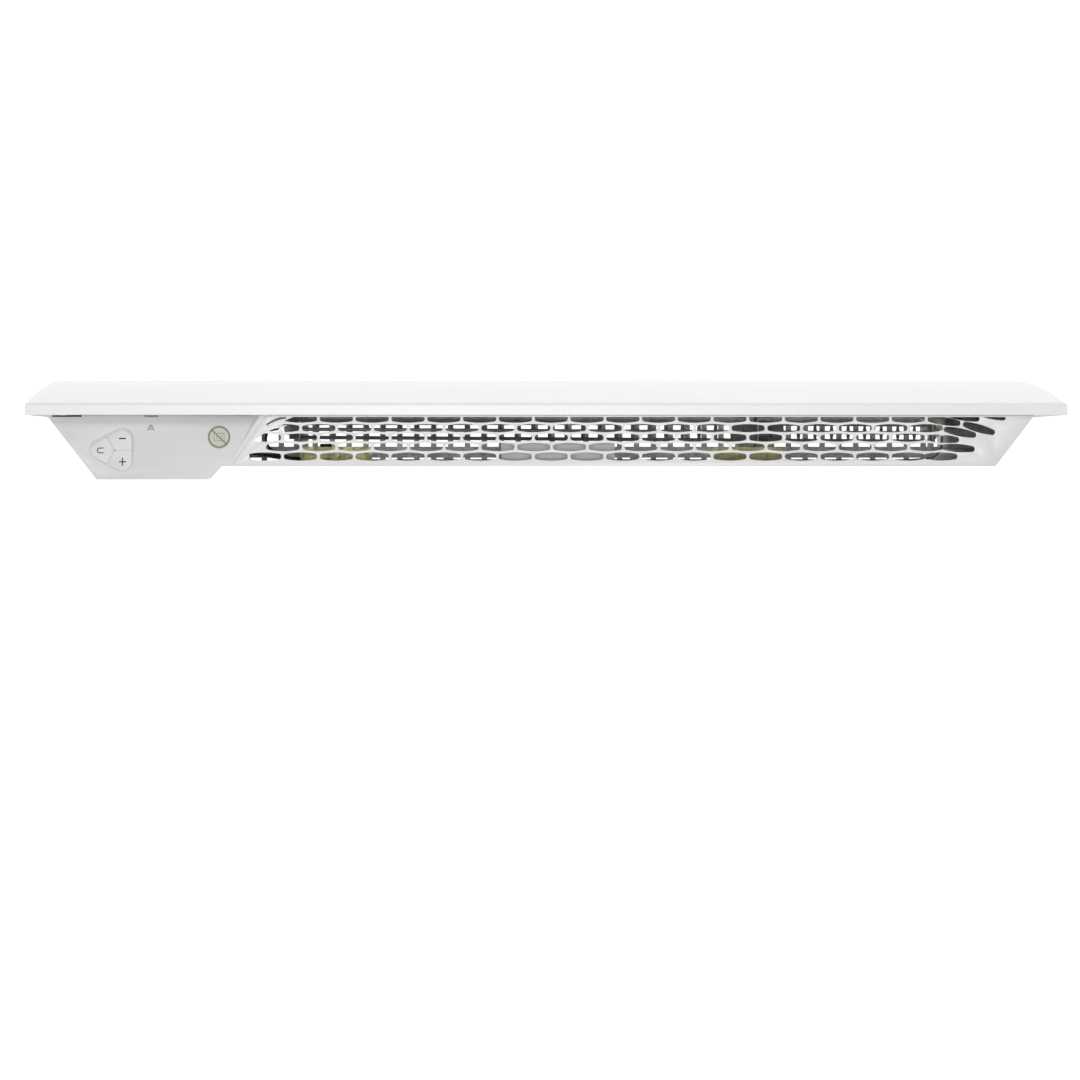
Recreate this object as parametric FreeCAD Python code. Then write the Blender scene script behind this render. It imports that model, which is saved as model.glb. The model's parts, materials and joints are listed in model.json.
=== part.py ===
import FreeCAD, Part
import math
import os

# Wall-hung electric convector heater, in millimetres.
# +Z is up, the front faces -Y, the wall is at +Y, +X is to the right seen from the front.
# The origin is under the middle of the heater, at its lowest level, halfway through its depth.

V = FreeCAD.Vector
X_AXIS = V(1, 0, 0)
Y_AXIS = V(0, 1, 0)
Z_AXIS = V(0, 0, 1)

# Whole heater
WIDTH = 1000.0
HEIGHT = 575.0
DEPTH = 102.8
SHEET = 0.8

# Front panel: a bowed sheet with folded edges
RIM_BACK_Y = -10.5
RIM_DEPTH = 11.5
RIM_FRONT_Y = RIM_BACK_Y - RIM_DEPTH
BOW_FRONT_Y = -DEPTH / 2
BOW_LOW_Z = 147.0
PANEL_EDGE_R = 3.0
PANEL_FOLD = 20.0
FOLD_Y = RIM_BACK_Y - 2.6
FLANGE_Y = FOLD_Y - SHEET
SCREW_X = 489.0
SCREW_HOLE_R = 1.9

# Rear casing: a tray whose ends slope towards the wall
CASE_BACK_Y = 38.6
CASE_FRONT_X = 468.4
CASE_BACK_X = 431.0
CASE_BOTTOM_Z = 12.0
CASE_TOP_Z = 572.3
CASE_WALL = 0.8
TOP_Z = 573.5
INNER_PLATE_Y = -13.0
INNER_PLATE_WALL = 0.6

# Control housing, at the +X end, which stands closer to the wall than the casing
CTRL_BACK_Y = DEPTH / 2
CTRL_FRONT_Y = -10.2
CTRL_FRONT_X = 479.7
CTRL_BACK_X = 431.4
CTRL_STEP_BACK_X = 325.3
CTRL_STEP_CASE_X = 313.6
CTRL_INNER_X = 300.0
CTRL_SEAM_FRONT_X = 269.0
CTRL_SEAM_BACK_X = 302.6
SEAM_GAP = 0.1
CTRL_BOTTOM_Z = 424.0
CTRL_WALL = 2.2
HOUSING_STEP_IN = 6.2
NOTCH_BACK_Y = -8.5
NOTCH_LOW_Z = 562.0
NOTCHES_X = ((445.8, 474.2), (372.8, 386.2))
FASCIA_BOTTOM_Z = 558.0
FASCIA_ROLL_Y = 36.0
FASCIA_DROP = 5.0
BEVEL_FRONT_X = 281.0
BEVEL_BACK_X = 310.8
BEVEL_LEAN = 5.0

# Top grille: rows of long barrel-shaped holes
HOLE_PITCH = 34.32
HOLE_LENGTH = 31.9
HOLE_MID = 3.95
HOLE_END = 2.6
HOLE_CORNER = 1.5
ROW_PITCH = 9.08
ROW_FIRST_Y = -6.95
ODD_ROW_X = 168.0
EVEN_ROW_X = 150.5
GRILLE_FRONT_Y = -10.2
HOLES_FRONT_Y = -8.6

# Bottom grille: two rows of square-cut slots
SLOT_PITCH = 18.57
SLOT_WIDTH = 12.4
SLOT_FIRST_X = 306.3
SLOT_COUNT = 41
SLOT_ROWS_Y = ((-5.4, 18.0), (30.2, 35.4))

# Heating element
ELEMENT_Y = 3.7
ELEMENT_Z = 95.0
ELEMENT_RIGHT_X = 266.0
ELEMENT_LEFT_X = -429.0
ELEMENT_YAW = 0.35
END_SUPPORT_X = -425.5
MID_SUPPORT_X = -237.0
MID_SUPPORT_WIDTH = 34.0
NEAR_SUPPORT_X = 254.5
NEAR_SUPPORT_WIDTH = 16.0
CORE_R = 1.9
ROD_R = 1.3
WING_REACH = 10.2
WING_RISE = 15.0
WING_THICK = 1.2
WING_RAIL = 5.0
WINDOW_FIRST = 5.6
WINDOW_PITCH = 17.9
WINDOW_LENGTH = 15.4
LOWER_WINDOW_SHIFT = -2.2
ROD_STUB = 6.0
TAB_LENGTH = 5.5
HANGER_DROP = 25.0
HANGER_RISE = 24.0
HANGER_SHEET = 1.0
HANGER_CHEEK = 1.2

# Keys on the control fascia: power nearest the end, minus in front, plus at the back
KEY_SPOTS = {"power_key": (428.1, 23.5), "minus_key": (407.0, 12.1), "plus_key": (406.8, 34.4)}
KEY_ROUND = 8.5
KEY_GAP = 0.1
KEY_THICK = 2.0
KEY_TRAVEL = 0.6
KEY_TILT = 5.7
KEY_ORIGIN = V(415.0, 23.5, 571.0)

# Hanging slots and hooks in the back
HOOK_X = 208.0
HOOK_WIDTH = 72.0
HOOK_Z = 372.0
HANG_SLOT_LENGTH = 60.0
HANG_SLOT_R = 6.0
HANG_SLOT_Z = 360.0
FOOT_SLOT_Z = 32.0

# Latch that locks the heater on its wall bracket
LATCH_X = -10.0
LATCH_Z = 470.0
LATCH_TRAVEL = 6.0

# Cable gland and wiring
GLAND_X = 405.0
GLAND_Y = 43.6
GLAND_BORE_R = 3.7
WIRE_R = 1.2
GROMMET_AT = V(318.0, 12.6, CTRL_BOTTOM_Z)
GROMMET_R = 7.0
GROMMET_BORE_R = 5.2


def box(x0, x1, y0, y1, z0, z1):
    """Box between two corners."""
    return Part.makeBox(x1 - x0, y1 - y0, z1 - z0, V(x0, y0, z0))


def rod(start, end, radius):
    """Round bar between two points."""
    return Part.makeCylinder(radius, (end - start).Length, start, end - start)


def tube(start, end, outer, inner):
    """Round tube between two points."""
    return rod(start, end, outer).cut(rod(start, end, inner))


def plan_prism(points, z0, z1):
    """Prism over a plan outline."""
    corners = [V(x, y, z0) for x, y in points]
    corners.append(corners[0])
    return Part.Face(Part.makePolygon(corners)).extrude(V(0, 0, z1 - z0))


def side_prism(points, x0, x1):
    """Prism along X over an outline of (y, z) points."""
    corners = [V(x0, y, z) for y, z in points]
    corners.append(corners[0])
    return Part.Face(Part.makePolygon(corners)).extrude(V(x1 - x0, 0, 0))


def group(shapes):
    """Several separate solids kept in one sub-part."""
    return Part.makeCompound(shapes)


def hull_wire(centres, radius, z):
    """Outline that wraps three circles, listed anticlockwise."""
    points = [V(x, y, z) for x, y in centres]
    edges = []
    for i, here in enumerate(points):
        before = points[i - 1]
        after = points[(i + 1) % len(points)]
        into = (here - before).normalize()
        away = (after - here).normalize()
        n_in = V(into.y, -into.x, 0)
        n_out = V(away.y, -away.x, 0)
        n_mid = (n_in + n_out).normalize()
        start = here + n_in * radius
        end = here + n_out * radius
        edges.append(Part.Arc(start, here + n_mid * radius, end).toShape())
        edges.append(Part.makeLine(end, after + n_out * radius))
    return Part.Wire(edges)


def wire_along(points, radius):
    """Round wire along straight runs joined by tangent arcs."""
    turns = []
    for before, here, after in zip(points, points[1:], points[2:]):
        into = (here - before).normalize()
        away = (after - here).normalize()
        half_turn = into.getAngle(away) / 2
        reach = 0.45 * min((here - before).Length, (after - here).Length)
        middle = (away - into).normalize()
        bend_r = reach / math.tan(half_turn)
        depth = bend_r / math.cos(half_turn) - bend_r
        turns.append((here - into * reach, here + middle * depth, here + away * reach))
    edges = []
    last = points[0]
    for start, mid, end in turns:
        edges.append(Part.LineSegment(last, start).toShape())
        edges.append(Part.Arc(start, mid, end).toShape())
        last = end
    edges.append(Part.LineSegment(last, points[-1]).toShape())
    path = Part.Wire(edges)
    section = Part.Wire(Part.Circle(points[0], points[1] - points[0], radius).toShape())
    return path.makePipeShell([section], True, True)


def wandering(start, end, steps, drift):
    """Points from start to end that drift a little to either side, as a clipped wire does."""
    points = []
    for i in range(steps + 1):
        side = drift if i % 2 else -drift
        if i in (0, steps):
            side = V(0, 0, 0)
        points.append(start + (end - start) * (i / steps) + side)
    return points


# ---------------------------------------------------------------- front

def panel_outline(inset):
    """Side view of the bowed panel: an arc in front and a straight plane behind."""
    drop = HEIGHT - BOW_LOW_Z
    bow = RIM_FRONT_Y - BOW_FRONT_Y
    radius = (drop ** 2 + bow ** 2) / (2 * bow)
    centre_y = BOW_FRONT_Y + radius
    arc_r = radius - inset

    def arc_point(z):
        return V(0, centre_y - math.sqrt(arc_r ** 2 - (z - BOW_LOW_Z) ** 2), z)

    low = inset
    high = HEIGHT - inset
    back = RIM_BACK_Y + (1.0 if inset else 0.0)
    top = arc_point(high)
    bottom = arc_point(low)
    front = Part.Arc(bottom, arc_point((low + high) / 2), top).toShape()
    rest = Part.makePolygon([top, V(0, back, high), V(0, back, low), bottom])
    return Part.Wire([front] + rest.Edges)


def panel_block(inset):
    """Solid block with the panel's outer shape, drawn in by an even inset."""
    half = WIDTH / 2 - inset
    face = Part.Face(panel_outline(inset))
    face.translate(V(-half, 0, 0))
    block = face.extrude(V(2 * half, 0, 0))
    rim = [e for e in block.Edges if e.BoundBox.YMax < RIM_BACK_Y - 1]
    return block.makeFillet(max(PANEL_EDGE_R - inset, 1.0), rim)


def screw_levels():
    """Heights of the screws that hold the front panel to the casing."""
    return (60.0, 225.0, 390.0, 530.0)


def screw_hole(side, z):
    """Hole through a fold of the panel and the casing's flange in front of it."""
    at = V(side * SCREW_X, FOLD_Y, z)
    return rod(at - Y_AXIS * 3, at + Y_AXIS * 2, SCREW_HOLE_R)


def front_panel():
    """Bowed steel front with folded edges and two folds that take the casing's screws."""
    shell = panel_block(0).cut(panel_block(SHEET))
    for side in (-1, 1):
        outer = side * (WIDTH / 2 - SHEET)
        inner = side * (WIDTH / 2 - SHEET - PANEL_FOLD)
        fold = box(min(outer, inner), max(outer, inner), FLANGE_Y, FOLD_Y, SHEET, HEIGHT - SHEET)
        shell = shell.fuse(fold)
        for z in screw_levels():
            shell = shell.cut(screw_hole(side, z))
    return shell.removeSplitter()


def panel_screws():
    """Pan-head screws behind the panel's folds."""
    screws = []
    for side in (-1, 1):
        for z in screw_levels():
            at = V(side * SCREW_X, FOLD_Y, z)
            head = rod(at, at + Y_AXIS * 2.2, 3.6)
            cross = box(at.x - 0.4, at.x + 0.4, at.y + 1.2, at.y + 3, z - 2, z + 2)
            cross = cross.fuse(box(at.x - 2, at.x + 2, at.y + 1.2, at.y + 3, z - 0.4, z + 0.4))
            shank = rod(at - Y_AXIS * 6, at, 1.8)
            screws.append(head.cut(cross).fuse(shank))
    return group(screws)


# ---------------------------------------------------------------- casing

def case_points(inset):
    """Plan outline of the casing, drawn in by an even inset, open to the front."""
    slope = (CASE_FRONT_X - CASE_BACK_X) / (CASE_BACK_Y - GRILLE_FRONT_Y)
    shift = inset * math.hypot(1, slope)
    front = FLANGE_Y - (3.0 if inset else CASE_WALL / 2)
    back = CASE_BACK_Y - inset

    def end_x(y):
        return CASE_FRONT_X - slope * (y - GRILLE_FRONT_Y) - shift

    return [(-end_x(front), front), (end_x(front), front), (end_x(back), back), (-end_x(back), back)]


def hang_slot(x, z):
    """Round-ended slot through the back, for a tongue of the wall bracket."""
    half = HANG_SLOT_LENGTH / 2 - HANG_SLOT_R
    y0 = CASE_BACK_Y - 4
    y1 = CASE_BACK_Y + 4
    slot = box(x - half, x + half, y0, y1, z - HANG_SLOT_R, z + HANG_SLOT_R)
    for end in (-half, half):
        slot = slot.fuse(rod(V(x + end, y0, z), V(x + end, y1, z), HANG_SLOT_R))
    return slot


def rear_casing():
    """Sheet steel tray: back wall, two sloped ends and two flanges inside the front panel."""
    walls = plan_prism(case_points(0), CASE_BOTTOM_Z, CASE_TOP_Z)
    walls = walls.cut(plan_prism(case_points(CASE_WALL), 0, HEIGHT))
    for side in (-1, 1):
        flange = box(min(side * 467, side * 497), max(side * 467, side * 497),
                     FLANGE_Y - CASE_WALL, FLANGE_Y, 25, 548)
        for z in screw_levels():
            flange = flange.cut(screw_hole(side, z))
        walls = walls.fuse(flange)
    notch = box(CTRL_INNER_X - 1.5, 475, -11.4, 60, CTRL_BOTTOM_Z - 0.5, HEIGHT)
    walls = walls.cut(notch)
    for x in (-HOOK_X, HOOK_X):
        for z in (HANG_SLOT_Z, FOOT_SLOT_Z):
            walls = walls.cut(hang_slot(x, z))
    walls = walls.cut(box(GLAND_X - 8, GLAND_X + 8, CASE_BACK_Y - 2, 60, CTRL_BOTTOM_Z - 4, HEIGHT))
    latch_way = box(LATCH_X - 17, LATCH_X + 17, CASE_BACK_Y - 4, CASE_BACK_Y + 4, 478, 506)
    walls = walls.cut(latch_way)
    return walls.removeSplitter()


def bottom_grille():
    """Floor of the casing with its two rows of air slots."""
    plate = plan_prism(case_points(CASE_WALL), CASE_BOTTOM_Z, CASE_BOTTOM_Z + SHEET)
    plate = plate.common(box(-500, 500, INNER_PLATE_Y, CASE_BACK_Y, 0, 50))
    slots = []
    for i in range(SLOT_COUNT):
        x = SLOT_FIRST_X - i * SLOT_PITCH
        for y0, y1 in SLOT_ROWS_Y:
            slots.append(box(x - SLOT_WIDTH / 2, x + SLOT_WIDTH / 2, y0, y1, 0, 50))
    return plate.cut(group(slots))


def inner_front_plate():
    """Galvanised plate that closes the air channel behind the front panel."""
    front = INNER_PLATE_Y - INNER_PLATE_WALL
    plate = box(-452, 268, front, INNER_PLATE_Y, 14, 571)
    stiffeners = [box(x - 12, x + 12, front - 0.8, front, 60, 520) for x in (-330, -110, 110, 250)]
    for rib in stiffeners:
        plate = plate.fuse(rib)
    return plate.removeSplitter()


def end_baffle():
    """Plate that closes the air channel before the casing's far end."""
    wall = box(-443.8, -443, INNER_PLATE_Y, 20, 14, 571)
    foot = box(-452, -443.8, INNER_PLATE_Y, INNER_PLATE_Y + 0.8, 14, 571)
    return wall.fuse(foot).removeSplitter()


def heat_shield():
    """Plate between the hot air and the control housing."""
    wall = box(296.6, 297.4, INNER_PLATE_Y, CASE_BACK_Y - CASE_WALL, 330, 556)
    foot = box(286, 297.4, CASE_BACK_Y - CASE_WALL - 0.8, CASE_BACK_Y - CASE_WALL, 330, 556)
    return wall.fuse(foot).removeSplitter()


# ---------------------------------------------------------------- top grille

def barrel_hole(x, y, turn):
    """Long hole whose two sides are bowed and whose ends are round."""
    half = HOLE_LENGTH / 2
    flat = half - HOLE_CORNER
    corners = [V(-flat, -HOLE_END, 0), V(flat, -HOLE_END, 0), V(flat, HOLE_END, 0), V(-flat, HOLE_END, 0)]
    mids = [V(0, -HOLE_MID, 0), V(half, 0, 0), V(0, HOLE_MID, 0), V(-half, 0, 0)]
    edges = []
    for i, mid in enumerate(mids):
        edges.append(Part.Arc(corners[i], mid, corners[(i + 1) % 4]).toShape())
    tool = Part.Face(Part.Wire(edges)).extrude(V(0, 0, 12))
    tool.rotate(V(0, 0, 0), Z_AXIS, turn)
    tool.translate(V(x, y, TOP_Z - 6))
    return tool


def regular_holes():
    """Straight part of the five rows, every other row set off by half a pitch."""
    first_column = (-2, -3, -3, -3, -3)
    holes = []
    for row, first in enumerate(first_column):
        start_x = EVEN_ROW_X if row % 2 else ODD_ROW_X
        y = ROW_FIRST_Y + row * ROW_PITCH
        for column in range(first, 16):
            holes.append(barrel_hole(start_x - column * HOLE_PITCH, y, 0))
    return holes


def fanned_holes():
    """Last hole of each row at the -X end, where the rows swing towards the wall."""
    spots = [(-381.2, -4.6, -8), (-396.4, 6.0, -11), (-379.8, 12.3, -4), (-394.8, 21.2, -4),
             (-378.2, 29.3, 0), (-399.5, -9.0, -9), (-414.7, 2.3, -16), (-425.0, -11.0, -13)]
    return [barrel_hole(x, y, turn) for x, y, turn in spots]


def hole_window():
    """Area that the holes may reach: straight in front, slanted towards the controls."""
    points = [(-450, HOLES_FRONT_Y), (243.5, HOLES_FRONT_Y), (253.8, -4.2), (252.8, -0.8),
              (269.7, 6.0), (285.4, 17.4), (285.4, 36), (-450, 36)]
    return plan_prism(points, TOP_Z - 8, TOP_Z + 8)


def slit_by_controls():
    """Narrow curved slit beside the control fascia."""
    outer = Part.Arc(V(255.5, HOLES_FRONT_Y, 0), V(263.0, -5.6, 0), V(269.4, -1.8, 0)).toShape()
    inner = Part.Arc(V(268.6, -0.3, 0), V(259.6, -4.9, 0), V(250.5, -6.9, 0)).toShape()
    cap = Part.makeLine(V(269.4, -1.8, 0), V(268.6, -0.3, 0))
    foot = Part.makePolygon([V(250.5, -6.9, 0), V(250.5, HOLES_FRONT_Y, 0), V(255.5, HOLES_FRONT_Y, 0)])
    tool = Part.Face(Part.Wire([outer, cap, inner] + foot.Edges)).extrude(V(0, 0, 12))
    tool.translate(V(0, 0, TOP_Z - 6))
    return tool


def top_grille():
    """Perforated top of the air channel."""
    slope = (CASE_FRONT_X - CASE_BACK_X) / (CASE_BACK_Y - GRILLE_FRONT_Y)
    seam = (CTRL_SEAM_BACK_X - CTRL_SEAM_FRONT_X) / (CASE_BACK_Y - CTRL_FRONT_Y)
    seam_front = CTRL_SEAM_FRONT_X - seam * (CTRL_FRONT_Y - GRILLE_FRONT_Y) - SEAM_GAP
    points = [(-CASE_FRONT_X, GRILLE_FRONT_Y), (seam_front, GRILLE_FRONT_Y),
              (CTRL_SEAM_BACK_X - SEAM_GAP, CASE_BACK_Y), (-CASE_BACK_X, CASE_BACK_Y)]
    plate = plan_prism(points, CASE_TOP_Z, TOP_Z)
    holes = [hole.common(hole_window()) for hole in regular_holes() + fanned_holes()]
    holes = [hole for hole in holes if hole.Volume > 1]
    return plate.cut(group(holes)).cut(slit_by_controls())


# ---------------------------------------------------------------- heating element

def window_starts():
    """Left ends of the windows along the element's wings, clear of the middle support."""
    starts = []
    x = ELEMENT_LEFT_X + WINDOW_FIRST
    while x + WINDOW_LENGTH < ELEMENT_RIGHT_X - 4:
        if x + WINDOW_LENGTH < -256 or x > -218:
            starts.append(x)
        x += WINDOW_PITCH
    return starts


def laid(shape):
    """Turn a shape built along X into the element's line, a little askew in its supports."""
    shape.rotate(V(ELEMENT_LEFT_X, ELEMENT_Y, ELEMENT_Z), Z_AXIS, -ELEMENT_YAW)
    return shape


def element_line_y(x):
    """Level in Y of the element's middle line."""
    return ELEMENT_Y - (x - ELEMENT_LEFT_X) * math.tan(math.radians(ELEMENT_YAW))


def element_wing(side_y, side_z):
    """One windowed wing of the element."""
    rise = side_z * WING_RISE
    root = V(0, ELEMENT_Y + side_y * CORE_R * 0.4, ELEMENT_Z + side_z * CORE_R * 0.6)
    tip = V(0, ELEMENT_Y + side_y * WING_REACH, ELEMENT_Z + rise)
    along = (tip - root).normalize()
    across = V(0, -along.z, along.y) * (WING_THICK / 2)
    outline = [root - across, tip - across, tip + across, root + across]
    wing = side_prism([(p.y, p.z) for p in outline], ELEMENT_LEFT_X, ELEMENT_RIGHT_X)
    low = root + along * 1.2
    high = tip - along * WING_RAIL
    wide = across * 4
    opening = [low - wide, high - wide, high + wide, low + wide]
    shift = LOWER_WINDOW_SHIFT if side_z < 0 else 0.0
    cuts = []
    for x in window_starts():
        cuts.append(side_prism([(p.y, p.z) for p in opening], x + shift, x + shift + WINDOW_LENGTH))
    return wing.cut(group(cuts))


def element_body():
    """Aluminium extrusion of X section, with long windows in its four wings."""
    start = V(ELEMENT_LEFT_X, ELEMENT_Y, ELEMENT_Z)
    end = V(ELEMENT_RIGHT_X, ELEMENT_Y, ELEMENT_Z)
    body = rod(start, end, CORE_R)
    for side_y in (-1, 1):
        for side_z in (-1, 1):
            body = body.fuse(element_wing(side_y, side_z))
    return laid(body.cut(rod(start - X_AXIS, end + X_AXIS, ROD_R)).removeSplitter())


def element_rod():
    """Sheathed heating rod pressed into the extrusion."""
    start = V(ELEMENT_LEFT_X - ROD_STUB, ELEMENT_Y, ELEMENT_Z)
    return laid(rod(start, V(ELEMENT_RIGHT_X + ROD_STUB, ELEMENT_Y, ELEMENT_Z), ROD_R))


def element_insulators():
    """Ceramic bushes round the rod's two ends."""
    bushes = []
    for x, out in ((ELEMENT_LEFT_X, -1), (ELEMENT_RIGHT_X, 1)):
        at = V(x + out * 0.5, ELEMENT_Y, ELEMENT_Z)
        collar = tube(at, at + X_AXIS * out * 2.0, 6.5, ROD_R)
        sleeve = tube(at + X_AXIS * out * 2.0, at + X_AXIS * out * 5.0, 3.6, ROD_R)
        bushes.append(laid(collar.fuse(sleeve)))
    return group(bushes)


def element_terminals():
    """Flat tabs on the rod's two ends."""
    tabs = []
    for x, out in ((ELEMENT_LEFT_X, -1), (ELEMENT_RIGHT_X, 1)):
        a = x + out * ROD_STUB
        b = x + out * (ROD_STUB + TAB_LENGTH)
        tab = box(min(a, b), max(a, b), ELEMENT_Y - 3.15, ELEMENT_Y + 3.15,
                  ELEMENT_Z - 0.4, ELEMENT_Z + 0.4)
        tabs.append(laid(tab))
    return group(tabs)


def hanger(x, width):
    """Sheet cradle that carries the element from the back wall."""
    back = CASE_BACK_Y - CASE_WALL
    low = ELEMENT_Z - HANGER_DROP
    high = ELEMENT_Z + HANGER_RISE
    left = x - width / 2
    right = x + width / 2
    cradle = box(left, right, INNER_PLATE_Y, back, low - HANGER_SHEET, low)
    cheek = box(x - HANGER_CHEEK / 2, x + HANGER_CHEEK / 2, INNER_PLATE_Y, back, low, high)
    foot = box(left, right, back - HANGER_SHEET, back, low, high)
    return cradle.fuse(cheek).fuse(foot)


def end_hanger(x):
    """Sheet cradle at the element's far end, carried from the inner front plate."""
    cradle = box(x - 14.5, x + 8.5, INNER_PLATE_Y, 1.5, ELEMENT_Z - 26, ELEMENT_Z - 25)
    cheek = box(x - 0.6, x + 0.6, INNER_PLATE_Y, 22, ELEMENT_Z - 25, ELEMENT_Z + 24)
    foot = box(x - 14.5, x + 8.5, INNER_PLATE_Y, INNER_PLATE_Y + 1, ELEMENT_Z - 25, ELEMENT_Z + 24)
    return cradle.fuse(cheek).fuse(foot)


def element_supports():
    """Three sheet supports; the element passes through a shaped hole in each."""
    clear_y = WING_REACH + 1.5
    clear_z = WING_RISE + 1.5
    way = laid(box(ELEMENT_LEFT_X - 20, ELEMENT_RIGHT_X + 2, ELEMENT_Y - clear_y, ELEMENT_Y + clear_y,
                   ELEMENT_Z - clear_z, ELEMENT_Z + clear_z))
    supports = [end_hanger(END_SUPPORT_X), hanger(MID_SUPPORT_X, MID_SUPPORT_WIDTH),
                hanger(NEAR_SUPPORT_X, NEAR_SUPPORT_WIDTH)]
    return group([support.cut(way).removeSplitter() for support in supports])


def support_bushes():
    """Mica blocks that hold the element in its supports."""
    reach_y = WING_REACH + 1.4
    reach_z = WING_RISE + 1.4
    blocks = []
    for x, width in ((END_SUPPORT_X, 1.6), (MID_SUPPORT_X, MID_SUPPORT_WIDTH - 4), (NEAR_SUPPORT_X, 1.6)):
        blocks.append(laid(box(x - width / 2, x + width / 2, ELEMENT_Y - reach_y, ELEMENT_Y + reach_y,
                               ELEMENT_Z - reach_z, ELEMENT_Z + reach_z)))
    return blocks


def mica_blocks():
    """Insulating blocks between the element and its supports."""
    element = element_body().fuse(element_rod())
    supports = element_supports()
    return group([block.cut(element).cut(supports) for block in support_bushes()])


def thermal_cutout():
    """Disc thermostat above the element, on its bracket."""
    at = V(225, 24, 168)
    disc = rod(at - Y_AXIS * 6, at, 7.5)
    cap = rod(at - Y_AXIS * 8.5, at - Y_AXIS * 6, 6.0)
    tabs = [box(225 + s * 4 - 1.6, 225 + s * 4 + 1.6, 24, 30, 167.6, 168.4) for s in (-1, 1)]
    return disc.fuse(cap).fuse(tabs[0]).fuse(tabs[1])


def cutout_bracket():
    """Bent strip that carries the disc thermostat from the back wall."""
    face = box(213, 237, 23, 24, 158, 190)
    face = face.cut(rod(V(225, 20, 168), V(225, 30, 168), 7.5))
    arm = box(213, 237, 23, CASE_BACK_Y - CASE_WALL, 190, 191)
    foot = box(213, 237, CASE_BACK_Y - CASE_WALL - 1, CASE_BACK_Y - CASE_WALL, 191, 206)
    return face.fuse(arm).fuse(foot).removeSplitter()


# ---------------------------------------------------------------- controls

def control_points(inset, seam_front, seam_back, step_in=0):
    """Plan outline of the control end, drawn in by an even inset, its step by some more."""
    slope = (CTRL_FRONT_X - CTRL_BACK_X) / (CTRL_BACK_Y - CTRL_FRONT_Y)
    shift = inset * math.hypot(1, slope)
    front = CTRL_FRONT_Y + inset
    back = CTRL_BACK_Y - inset
    step_run = (CTRL_STEP_BACK_X - CTRL_STEP_CASE_X) / (CTRL_BACK_Y - CASE_BACK_Y)
    step = inset * (math.hypot(1, step_run) - step_run) + step_in

    def end_x(y):
        return CTRL_FRONT_X - slope * (y - CTRL_FRONT_Y) - shift

    return [(seam_front + inset, front), (end_x(front), front), (end_x(back), back),
            (CTRL_STEP_BACK_X + step, back), (CTRL_STEP_CASE_X + step, CASE_BACK_Y - inset),
            (seam_back + inset, CASE_BACK_Y - inset)]


def control_housing():
    """Moulded box under the fascia, open at its top."""
    outline = control_points(0, CTRL_INNER_X, CTRL_INNER_X, HOUSING_STEP_IN)
    room = control_points(CTRL_WALL, CTRL_INNER_X, CTRL_INNER_X, HOUSING_STEP_IN)
    outer = plan_prism(outline, CTRL_BOTTOM_Z, FASCIA_BOTTOM_Z)
    inner = plan_prism(room, CTRL_BOTTOM_Z + CTRL_WALL, FASCIA_BOTTOM_Z + 5)
    shell = outer.cut(inner)
    for x, y in boss_spots():
        shell = shell.fuse(rod(V(x, y, CTRL_BOTTOM_Z + CTRL_WALL), V(x, y, CTRL_BOTTOM_Z + 10), 3.0))
    shell = shell.cut(rod(V(GLAND_X, GLAND_Y, 400), V(GLAND_X, GLAND_Y, 440), 5.0))
    shell = shell.cut(rod(GROMMET_AT - Z_AXIS * 5, GROMMET_AT + Z_AXIS * 5, GROMMET_R))
    return shell.removeSplitter()


def boss_spots():
    """Bosses under the power board."""
    return ((334, -2), (443, -2), (334, 36), (424, 36))


def fascia_roll():
    """Space above the fascia's front, where its top rolls down to the front panel."""
    run = FASCIA_ROLL_Y - CTRL_FRONT_Y
    radius = (run ** 2 + FASCIA_DROP ** 2) / (2 * FASCIA_DROP)
    centre_z = TOP_Z - radius
    reach = run + 2.0
    front_y = FASCIA_ROLL_Y - reach
    front_z = centre_z + math.sqrt(radius ** 2 - reach ** 2)
    mid_y = FASCIA_ROLL_Y - reach / 2
    mid_z = centre_z + math.sqrt(radius ** 2 - (reach / 2) ** 2)
    arc = Part.Arc(V(0, front_y, front_z), V(0, mid_y, mid_z), V(0, FASCIA_ROLL_Y, TOP_Z)).toShape()
    lid = Part.makePolygon([V(0, FASCIA_ROLL_Y, TOP_Z), V(0, FASCIA_ROLL_Y, TOP_Z + 5),
                            V(0, front_y, TOP_Z + 5), V(0, front_y, front_z)])
    face = Part.Face(Part.Wire([arc] + lid.Edges))
    face.translate(V(240, 0, 0))
    return face.extrude(V(260, 0, 0))


def fascia_bevel_side():
    """Half space beyond the diagonal bevel, where the roll ends against the grille."""
    foot_front = V(BEVEL_FRONT_X, CTRL_FRONT_Y, TOP_Z - FASCIA_DROP)
    foot_back = V(BEVEL_BACK_X, FASCIA_ROLL_Y, TOP_Z - FASCIA_DROP)
    along = (foot_back - foot_front).normalize()
    side = V(along.y, -along.x, 0)
    low = foot_front - along * 20
    over = BEVEL_LEAN * (1 + 6 / FASCIA_DROP)
    profile = [low, low - side * over + Z_AXIS * (FASCIA_DROP + 6),
               low + side * 220 + Z_AXIS * (FASCIA_DROP + 6),
               low + side * 220 - Z_AXIS * 6, low - Z_AXIS * 6]
    face = Part.Face(Part.makePolygon(profile + [profile[0]]))
    return face.extrude(along * 140)


def key_frame(shape):
    """Turn a shape drawn flat about the key pad's middle into its tilted place."""
    shape.translate(V(-KEY_ORIGIN.x, -KEY_ORIGIN.y, 0))
    shape.rotate(V(0, 0, 0), X_AXIS, KEY_TILT)
    shape.translate(KEY_ORIGIN)
    return shape


def key_centres():
    """The three key centres, anticlockwise in plan."""
    return [KEY_SPOTS["minus_key"], KEY_SPOTS["power_key"], KEY_SPOTS["plus_key"]]


def key_pad(radius, z0, z1):
    """Rounded triangle that wraps the three keys, between two levels."""
    return Part.Face(hull_wire(key_centres(), radius, z0)).extrude(V(0, 0, z1 - z0))


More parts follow.
